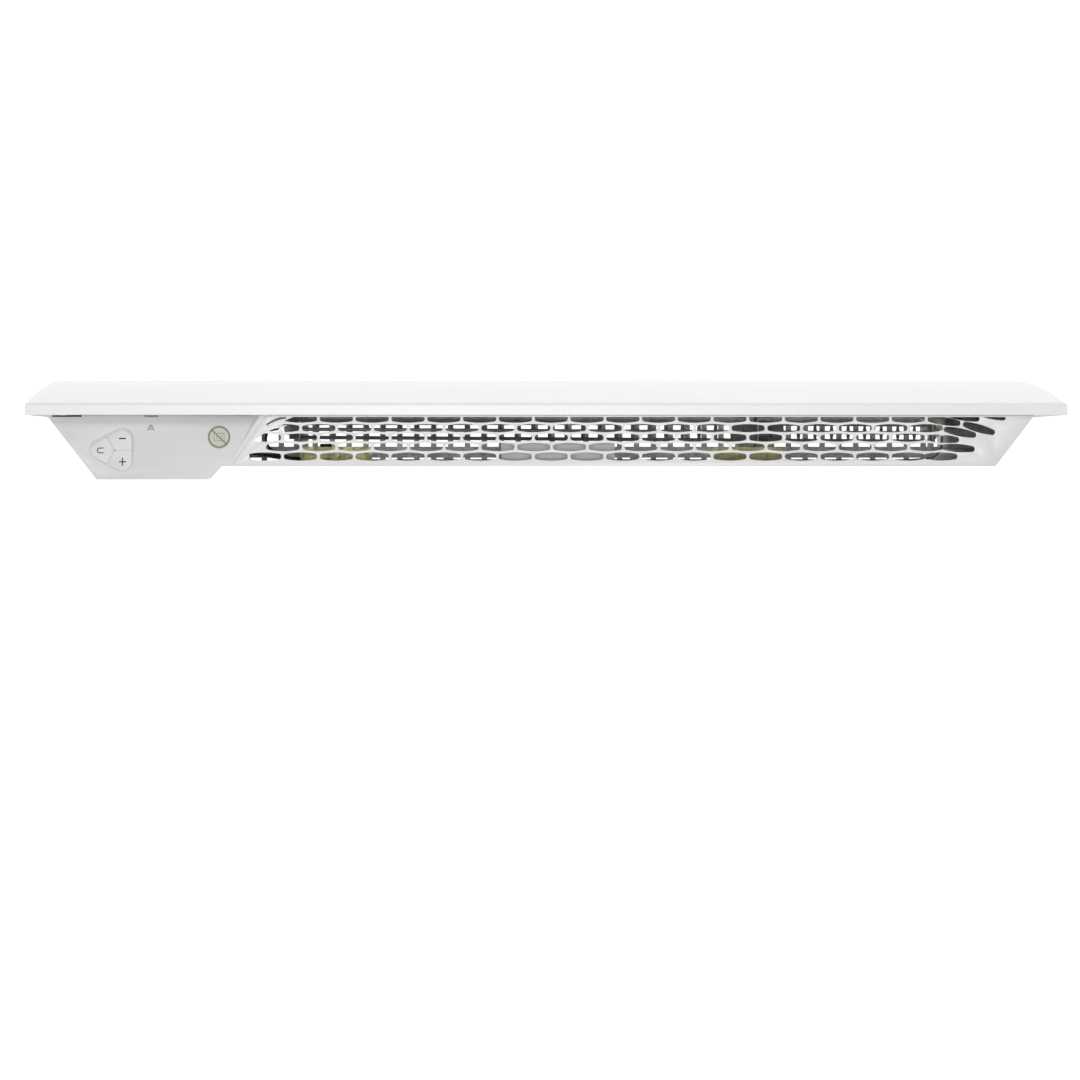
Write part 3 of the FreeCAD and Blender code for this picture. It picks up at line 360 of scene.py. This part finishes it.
MERGE_DISTANCE = 1e-7
FLAT_ANGLE = math.radians(0.4)
EDGE_ANGLE = math.radians(40)
SMOOTH_ANGLE = math.radians(30)

# Nodes that get rounded edges: the radius, and the steps across it
ROUNDED_NODES = {
    "control_fascia": (0.35 * MM, 2),
    "control_housing": (0.5 * MM, 2),
    "top_grille": (0.18 * MM, 2),
}
KEY_ROUNDING = (0.12 * MM, 2)


def softened(node, body, width, segments):
    """Copy of a node with its sharp edges rounded, which stands in for it."""
    name = node + "_soft"
    source = NODES[node]
    mesh = source.data.copy()
    mesh.name = name
    mesh.transform(source.matrix_world)
    work = bmesh.new()
    work.from_mesh(mesh)
    bmesh.ops.remove_doubles(work, verts=work.verts, dist=MERGE_DISTANCE)
    bmesh.ops.dissolve_limit(work, angle_limit=FLAT_ANGLE, verts=work.verts, edges=work.edges)
    work.to_mesh(mesh)
    work.free()
    raw = bpy.data.objects.new(name + "_raw", mesh)
    bpy.context.scene.collection.objects.link(raw)
    rounding = raw.modifiers.new("rounding", "BEVEL")
    rounding.width = width
    rounding.segments = segments
    rounding.limit_method = "ANGLE"
    rounding.angle_limit = EDGE_ANGLE
    rounding.use_clamp_overlap = True
    rounding.harden_normals = False
    seen = raw.evaluated_get(bpy.context.evaluated_depsgraph_get())
    rounded = bpy.data.meshes.new_from_object(seen)
    rounded.name = name
    bpy.data.objects.remove(raw)
    rounded.materials.clear()
    for face in rounded.polygons:
        face.use_smooth = True
    rounded.set_sharp_from_angle(angle=SMOOTH_ANGLE)
    slot = next(r["material_slot"] for r in frame["record"]["subparts"] if r["node"] == node)
    piece = make_piece(name, rounded, MATERIALS[slot], body)
    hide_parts(node)


def sprung_coil():
    """The latch's spring, copied into a piece of its own that rides on the heater."""
    source = NODES["latch_spring"]
    mesh = source.data.copy()
    mesh.name = "latch_coil"
    mesh.transform(source.matrix_world)
    piece = make_piece("latch_coil", mesh, MATERIALS["spring_steel"], "heater")
    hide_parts("latch_spring")
    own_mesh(piece)


def soften_edges():
    """Rounds the edges of the moulded and pressed parts that are seen close."""
    for node, rounding in ROUNDED_NODES.items():
        softened(node, "heater", *rounding)
    for key in KEY_SPOTS:
        softened(key, key, *KEY_ROUNDING)


# ---------------------------------------------------------------- printed marks

class Surface:
    """Where prints lie: a point and two directions, with the normal out of the surface."""

    def __init__(self, origin, right, up):
        self.origin = Vector(origin)
        self.right = Vector(right).normalized()
        self.up = Vector(up).normalized()
        self.out = self.right.cross(self.up)

    def at(self, x, y, lift):
        return self.origin + self.right * x + self.up * y + self.out * lift


def ring_strip(work, surface, centre, outer, inner, start, end, thick, steps=48):
    """Flat arc band on a surface, with a real thickness; angles in degrees."""
    rows = []
    for i in range(steps + 1):
        angle = math.radians(start + (end - start) * i / steps)
        row = []
        for radius, lift in ((outer, 0), (outer, thick), (inner, thick), (inner, 0)):
            x = centre[0] + radius * math.cos(angle)
            y = centre[1] + radius * math.sin(angle)
            row.append(work.verts.new(surface.at(x, y, lift)))
        rows.append(row)
    closed = abs(end - start) >= 360
    if closed:
        rows[-1] = rows[0]
    for i in range(steps):
        a, b = rows[i], rows[i + 1]
        for j in range(4):
            k = (j + 1) % 4
            work.faces.new((a[j], b[j], b[k], a[k]))
    if not closed:
        work.faces.new(rows[0])
        work.faces.new(list(reversed(rows[-1])))
    if closed:
        loose = [v for v in work.verts if not v.link_faces]
        bmesh.ops.delete(work, geom=loose, context="VERTS")


def bar(work, surface, start, end, width, thick, round_steps=6):
    """Round-ended bar between two points of a surface."""
    a = Vector(start)
    b = Vector(end)
    along = (b - a).normalized()
    base = math.atan2(along.y, along.x)
    half = width / 2
    outline = []
    for centre, turn in ((b, base - math.pi / 2), (a, base + math.pi / 2)):
        for i in range(round_steps + 1):
            angle = turn + math.pi * i / round_steps
            outline.append((centre.x + half * math.cos(angle), centre.y + half * math.sin(angle)))
    low = [work.verts.new(surface.at(x, y, 0)) for x, y in outline]
    high = [work.verts.new(surface.at(x, y, thick)) for x, y in outline]
    work.faces.new(high)
    work.faces.new(list(reversed(low)))
    count = len(outline)
    for i in range(count):
        k = (i + 1) % count
        work.faces.new((low[i], low[k], high[k], high[i]))


def print_piece(name, work, material, body):
    """Turns drawn marks into a piece."""
    bmesh.ops.recalc_face_normals(work, faces=work.faces)
    mesh = bpy.data.meshes.new(name)
    work.to_mesh(mesh)
    work.free()
    make_piece(name, mesh, material, body)


def top_surface(node, x, y):
    """Print surface on a node's top above a plan point, read from the node itself."""
    _, place, normal, _ = NODES[node].ray_cast(Vector((x, y, 1.0)), Vector((0, 0, -1)))
    right = Vector((-1, 0, 0))
    return Surface(place, right, normal.cross(right))


# Where the prints lie in plan, and the thickness of one coat of ink
KEY_SPOTS = {
    "power_key": (0.4281, 0.0235),
    "minus_key": (0.4070, 0.0121),
    "plus_key": (0.4068, 0.0344),
}
KEEP_CLEAR_SPOT = (0.3145, 0.0107)
PRESENCE_SPOT = (0.3797, 0.0020)
INK = 0.00006

# Power mark: a half ring, and the two legs that run on from its ends
POWER_SHIFT = -0.6 * MM
POWER_OUTER = 2.7 * MM
POWER_INNER = 1.8 * MM
POWER_LEG_END = 2.8 * MM

# Minus and plus
MINUS_REACH = 2.8 * MM
MINUS_WIDTH = 1.2 * MM
PLUS_REACH = 3.0 * MM
PLUS_RISE = 3.4 * MM
PLUS_WIDTH = 1.1 * MM

# Keep-clear mark
FIELD_RADIUS = 9.8 * MM
FIELD_PINHOLE = 0.2 * MM
RING_OUTER = 10.8 * MM
RING_INNER = 8.9 * MM
RING_STEPS = 72
DIAGONAL_REACH = 6.6 * MM
DIAGONAL_WIDTH = 1.4 * MM
GRILLE_REACH = 4.8 * MM
GRILLE_RISE = 3.6 * MM
GRILLE_LINE = 0.7 * MM
GRILLE_BARS = (-2.2 * MM, 0.0, 2.2 * MM)
GRILLE_BAR_RISE = 1.8 * MM
GRILLE_BAR_WIDTH = 0.6 * MM

# Presence mark: how far up each chevron lies, and how far it reaches to each side
CHEVRONS = ((0.0, 3.4 * MM), (1.9 * MM, 2.6 * MM), (3.7 * MM, 1.6 * MM))
CHEVRON_FOOT = -2.0 * MM
CHEVRON_PEAK = -0.8 * MM
CHEVRON_WIDTH = 0.6 * MM


def power_mark():
    """Power mark: a half ring with two straight legs."""
    place = top_surface("power_key", *KEY_SPOTS["power_key"])
    work = bmesh.new()
    ring_strip(work, place, (POWER_SHIFT, 0), POWER_OUTER, POWER_INNER, 90, 270, INK)
    leg = (POWER_OUTER + POWER_INNER) / 2
    for y in (-leg, leg):
        bar(work, place, (POWER_SHIFT, y), (POWER_LEG_END, y), POWER_OUTER - POWER_INNER, INK * 1.3)
    print_piece("power_mark", work, INK_DARK, "power_key")


def minus_mark():
    """Minus sign."""
    place = top_surface("minus_key", *KEY_SPOTS["minus_key"])
    work = bmesh.new()
    bar(work, place, (-MINUS_REACH, 0), (MINUS_REACH, 0), MINUS_WIDTH, INK)
    print_piece("minus_mark", work, INK_DARK, "minus_key")


def plus_mark():
    """Plus sign."""
    place = top_surface("plus_key", *KEY_SPOTS["plus_key"])
    work = bmesh.new()
    bar(work, place, (-PLUS_REACH, 0), (PLUS_REACH, 0), PLUS_WIDTH, INK)
    bar(work, place, (0, -PLUS_RISE), (0, PLUS_RISE), PLUS_WIDTH, INK * 1.5)
    print_piece("plus_mark", work, INK_DARK, "plus_key")


def keep_clear_mark():
    """Ring with a plain barred box and a diagonal, over a paler field."""
    place = top_surface("control_fascia", *KEEP_CLEAR_SPOT)
    work = bmesh.new()
    ring_strip(work, place, (0, 0), FIELD_RADIUS, FIELD_PINHOLE, 0, 360, INK, RING_STEPS)
    print_piece("keep_clear_field", work, INK_FIELD, "heater")
    work = bmesh.new()
    ring_strip(work, place, (0, 0), RING_OUTER, RING_INNER, 0, 360, INK * 4, RING_STEPS)
    bar(work, place, (-DIAGONAL_REACH, DIAGONAL_REACH), (DIAGONAL_REACH, -DIAGONAL_REACH),
        DIAGONAL_WIDTH, INK * 4)
    print_piece("keep_clear_ring", work, INK_OLIVE, "heater")
    work = bmesh.new()
    for y in (GRILLE_RISE, -GRILLE_RISE):
        bar(work, place, (-GRILLE_REACH, y), (GRILLE_REACH, y), GRILLE_LINE, INK * 2)
    for x in (-GRILLE_REACH, GRILLE_REACH):
        bar(work, place, (x, -GRILLE_RISE), (x, GRILLE_RISE), GRILLE_LINE, INK * 2)
    for x in GRILLE_BARS:
        bar(work, place, (x, -GRILLE_BAR_RISE), (x, GRILLE_BAR_RISE), GRILLE_BAR_WIDTH, INK * 2)
    print_piece("keep_clear_box", work, INK_PALE, "heater")


def presence_mark():
    """Small stack of chevrons beside the sensor window."""
    place = top_surface("control_fascia", *PRESENCE_SPOT)
    work = bmesh.new()
    for step, reach in CHEVRONS:
        for side in (-reach, reach):
            foot = (side, CHEVRON_FOOT + step)
            bar(work, place, foot, (0, CHEVRON_PEAK + step), CHEVRON_WIDTH, INK)
    print_piece("presence_symbol", work, INK_DARK, "heater")


# ---------------------------------------------------------------- stage

FLOOR_SIZE = 30
FLOOR_Z = -0.9
FLOOR_TONE = (0.92, 0.92, 0.92, 1)
FLOOR_GLOW = 0.72
SURROUND_GLOW = 0.17
WHITE = (1, 1, 1, 1)

# Soft boxes: name, place, aim, size in metres, power in watts
SOFT_BOXES = (
    ("front_light", (-0.3, -3.0, 2.0), (0, 0, 0.5), (2.6, 1.2), 42),
    ("over_light", (0.09, 0.10, TOP + 4.2), (0.05, 0.0, TOP), (0.9, 0.5), 68),
    ("wall_light", (0.3, 2.4, 2.9), (0, 0, 0.55), (2.2, 1.0), 32),
)

# Camera: its place, the point it looks at, and the width that it takes in at the heater's top
CAMERA_RISE = 3.85
CAMERA_PLACE = (0.0935, 0.0326, TOP + CAMERA_RISE)
CAMERA_AIM = (0.0072, 0.1094, TOP)
VIEW_WIDTH = 1.0355
SENSOR_WIDTH = 36


def pale_floor():
    """Plain white floor well below the hung heater."""
    bpy.ops.mesh.primitive_plane_add(size=FLOOR_SIZE, location=(0, 0, FLOOR_Z))
    floor = bpy.context.object
    floor.name = "floor"
    material, _, shader = new_material("plain_floor")
    shader.inputs["Base Color"].default_value = FLOOR_TONE
    shader.inputs["Roughness"].default_value = 0.9
    shader.inputs["Emission Color"].default_value = WHITE
    shader.inputs["Emission Strength"].default_value = FLOOR_GLOW
    floor.data.materials.append(material)


def soft_light(name, place, aim, size, power):
    """Rectangular studio light."""
    data = bpy.data.lights.new(name, "AREA")
    data.shape = "RECTANGLE"
    data.size = size[0]
    data.size_y = size[1]
    data.energy = power
    light = bpy.data.objects.new(name, data)
    light.location = place
    light.rotation_euler = (Vector(aim) - Vector(place)).to_track_quat("-Z", "Y").to_euler()
    bpy.context.scene.collection.objects.link(light)


def lights():
    """An even pale surround, with soft boxes in front, above and over the wall."""
    world = bpy.data.worlds.new("studio")
    world.use_nodes = True
    background = world.node_tree.nodes["Background"]
    background.inputs["Color"].default_value = WHITE
    background.inputs["Strength"].default_value = SURROUND_GLOW
    bpy.context.scene.world = world
    for box in SOFT_BOXES:
        soft_light(*box)


def camera():
    """Long lens looking almost straight down on the heater's top, wall side at the bottom."""
    place = Vector(CAMERA_PLACE)
    data = bpy.data.cameras.new("camera")
    data.sensor_width = SENSOR_WIDTH
    data.lens = SENSOR_WIDTH * CAMERA_RISE / VIEW_WIDTH
    data.clip_end = 100
    eye = bpy.data.objects.new("camera", data)
    back = (place - Vector(CAMERA_AIM)).normalized()
    up = Vector((0, -1, 0))
    up = (up - back * up.dot(back)).normalized()
    right = up.cross(back)
    eye.matrix_world = Matrix((
        (right.x, up.x, back.x, place.x),
        (right.y, up.y, back.y, place.y),
        (right.z, up.z, back.z, place.z),
        (0, 0, 0, 1),
    ))
    bpy.context.scene.collection.objects.link(eye)
    bpy.context.scene.camera = eye


# ---------------------------------------------------------------- the scene

dress_nodes()
power_mark()
minus_mark()
plus_mark()
keep_clear_mark()
presence_mark()
soften_edges()
sprung_coil()
pale_floor()
lights()
camera()
bpy.context.scene.view_settings.view_transform = "Standard"
